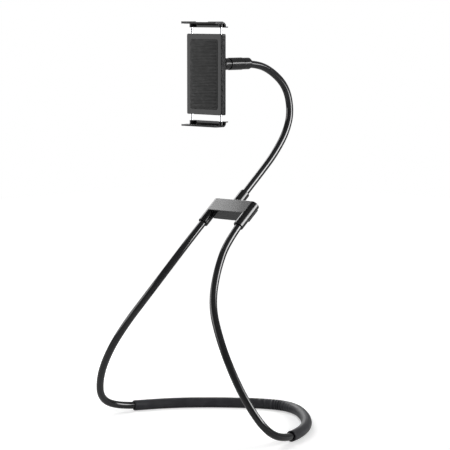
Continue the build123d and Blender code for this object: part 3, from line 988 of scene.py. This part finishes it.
@dataclass
class Studio:
    """White studio: floor, background, lamps and camera.

    Attributes:
        lamps: the soft boxes.
        floor_m: size of the floor.
        ambient: light from the room on dull surfaces.
        dark_side: brightness of the room where there is no white paper, as reflections show it.
        paper: brightness of the white paper, as reflections show it.
        paper_towards: direction of the paper's middle.
        paper_edge: cosine of the angle off that direction where the paper begins, and where it is full.
        paper_top: sine of the angle above level where the paper starts to fade, and where it has ended.
        floor_white: share of the light that the floor sends back.
        floor_mirrored: the same share as reflections show it.
        floor_glow: share of the floor's white that no shadow reaches, far from the object.
        shadow_glow: the same share round the object, where its shadow has to show.
        shadow_reach: distances from the object between which the one share turns into the other.
        floor_gleam: the share as reflections show it.
        lens_mm: focal length on a 36 mm sensor.
        camera_place: where the camera stands.
        camera_pitch_deg: how far it looks down.
        camera_turn_deg: how far it is turned from looking along +Y.
    """

    lamps: Sequence[Lamp] = (
        Lamp("right_box", 24.7, 6.9, 0.71, 0.34, 0.51, 23.0, grid_deg=36.0),
        Lamp("right_wing", 43.6, 16.2, 0.92, 0.36, 0.19, 13.5, grid_deg=27.0),
        Lamp("left_box", 220.0, 7.3, 1.08, 0.9, 0.6, 2.7),
        Lamp("left_top", 178.0, 36.4, 1.04, 0.6, 0.22, 4.5),
        Lamp("right_low", 54.0, 25.4, 1.07, 0.26, 0.2, 18.0, grid_deg=15.0, aim=(0.15, -0.12, 0.07)),
        Lamp("right_sill", 25.5, -10.9, 0.767, 0.34, 0.22, 6.0, grid_deg=20.0, aim=(-0.04, -0.03, 0.28)),
        Lamp("back_low", 156.0, 35.0, 1.2, 0.8, 0.66, 12.0, grid_deg=17.0, aim=(0.08, 0.05, 0.01)),
    )
    floor_m: float = 6.0
    ambient: float = 0.35
    dark_side: float = 0.27
    paper: float = 1.3
    paper_towards: Point = (-0.883, 0.469, 0.0)
    paper_edge: Span = (0.883, 0.97)
    paper_top: Span = (0.42, 0.62)
    floor_white: float = 0.8
    floor_mirrored: float = 0.4
    floor_glow: float = 0.75
    shadow_glow: float = 0.38
    shadow_reach: Span = (0.25, 0.6)
    floor_gleam: float = 0.2
    lens_mm: float = 168.0
    camera_place: Point = (2.143, -2.155, 0.6085)
    camera_pitch_deg: float = 5.98
    camera_turn_deg: float = 45.0

    def build(self) -> None:
        """Set up everything that isn't the object."""
        bpy.context.scene.view_settings.view_transform = "Standard"
        self.build_world()
        self.build_floor()
        for lamp in self.lamps:
            lamp.build()
        camera = bpy.data.cameras.new("camera")
        camera.lens = self.lens_mm
        camera.clip_end = 20.0
        holder = bpy.data.objects.new("camera", camera)
        holder.location = self.camera_place
        pitch, turn = 90 - self.camera_pitch_deg, self.camera_turn_deg
        holder.rotation_euler = (math.radians(pitch), 0, math.radians(turn))
        bpy.context.scene.collection.objects.link(holder)
        bpy.context.scene.camera = holder

    def by_ray(self, tree: bpy.types.NodeTree, seen: Brightness, mirrored: Brightness,
               lighting: Brightness) -> bpy.types.NodeSocket:
        """Choose a brightness by the kind of ray that asks for it.

        Args:
            tree: node tree that asks.
            seen: brightness for the camera, straight or through something clear.
            mirrored: brightness in reflections.
            lighting: brightness as a light on dull surfaces.

        Returns:
            The chosen brightness.
        """
        path = add_node(tree, "ShaderNodeLightPath").outputs
        clear = add_node(tree, "ShaderNodeMath", {"operation": "MAXIMUM"},
                         (path["Is Camera Ray"], path["Is Transmission Ray"]))
        gloss = add_node(tree, "ShaderNodeMix", {"data_type": "FLOAT"}, (path["Is Glossy Ray"],),
                         A=lighting, B=mirrored)
        choice = add_node(tree, "ShaderNodeMix", {"data_type": "FLOAT"}, (clear.outputs[0],),
                          A=gloss.outputs["Result"], B=seen)
        return choice.outputs["Result"]

    def build_world(self) -> None:
        """White to the eye; in reflections a white paper behind the object's left and else a dim room."""
        world = bpy.data.worlds.new("studio")
        bpy.context.scene.world = world
        world.use_nodes = True
        tree = world.node_tree
        tree.nodes.clear()
        direction = add_node(tree, "ShaderNodeTexCoord").outputs["Generated"]
        behind = add_node(tree, "ShaderNodeVectorMath", {"operation": "DOT_PRODUCT"},
                          (direction, self.paper_towards))
        paper = add_node(tree, "ShaderNodeMapRange", Value=behind.outputs["Value"],
                         From_Min=self.paper_edge[0], From_Max=self.paper_edge[1])
        height = add_node(tree, "ShaderNodeSeparateXYZ", Vector=direction)
        low = add_node(tree, "ShaderNodeMapRange", Value=height.outputs["Z"], From_Min=self.paper_top[0],
                       From_Max=self.paper_top[1], To_Min=1.0, To_Max=0.0)
        white = add_node(tree, "ShaderNodeMath", {"operation": "MULTIPLY"},
                         (paper.outputs["Result"], low.outputs["Result"]))
        mirrored = add_node(tree, "ShaderNodeMapRange", Value=white.outputs[0], To_Min=self.dark_side,
                            To_Max=self.paper)
        strength = self.by_ray(tree, 1.0, mirrored.outputs["Result"], self.ambient)
        glow = add_node(tree, "ShaderNodeBackground", Color=linear(WHITE), Strength=strength)
        add_node(tree, "ShaderNodeOutputWorld", Surface=glow.outputs["Background"])

    def build_floor(self) -> None:
        """Matt white floor that glows for the eye, less so round the object, where its shadow shows."""
        material = bpy.data.materials.new("white floor")
        material.use_nodes = True
        tree = material.node_tree
        tree.nodes.clear()
        white = self.by_ray(tree, self.floor_white, self.floor_mirrored, self.floor_white)
        matt = add_node(tree, "ShaderNodeBsdfDiffuse", Color=white)
        place = add_node(tree, "ShaderNodeTexCoord").outputs["Object"]
        reach = add_node(tree, "ShaderNodeVectorMath", {"operation": "LENGTH"}, (place,))
        share = add_node(tree, "ShaderNodeMapRange", Value=reach.outputs["Value"],
                         From_Min=self.shadow_reach[0], From_Max=self.shadow_reach[1],
                         To_Min=self.shadow_glow, To_Max=self.floor_glow)
        strength = self.by_ray(tree, share.outputs["Result"], self.floor_gleam, 0.0)
        glow = add_node(tree, "ShaderNodeEmission", Color=linear(WHITE), Strength=strength)
        both = add_node(tree, "ShaderNodeAddShader", None, (matt.outputs["BSDF"], glow.outputs["Emission"]))
        add_node(tree, "ShaderNodeOutputMaterial", Surface=both.outputs["Shader"])
        shape = bmesh.new()
        bmesh.ops.create_grid(shape, x_segments=1, y_segments=1, size=self.floor_m / 2)
        piece(shape, "floor", material)


def main() -> None:
    """Build the studio, dress the CAD nodes, and make the new pieces from the floor up."""
    logging.basicConfig(level=logging.INFO, format="%(message)s")
    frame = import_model()
    Studio().build()
    materials = {slot: finish.material() for slot, finish in FINISHES.items()}
    bare = (Bracket(materials), BallJoint(materials))
    modelled = (Stand(materials), Arm(materials), Clamp(materials), Jaw(materials, end=End.UPPER),
                Jaw(materials, end=End.LOWER))
    for group in (*bare, *modelled):
        group.dress(frame)
    for group in modelled:
        group.build()


if __name__ == "__main__":
    main()
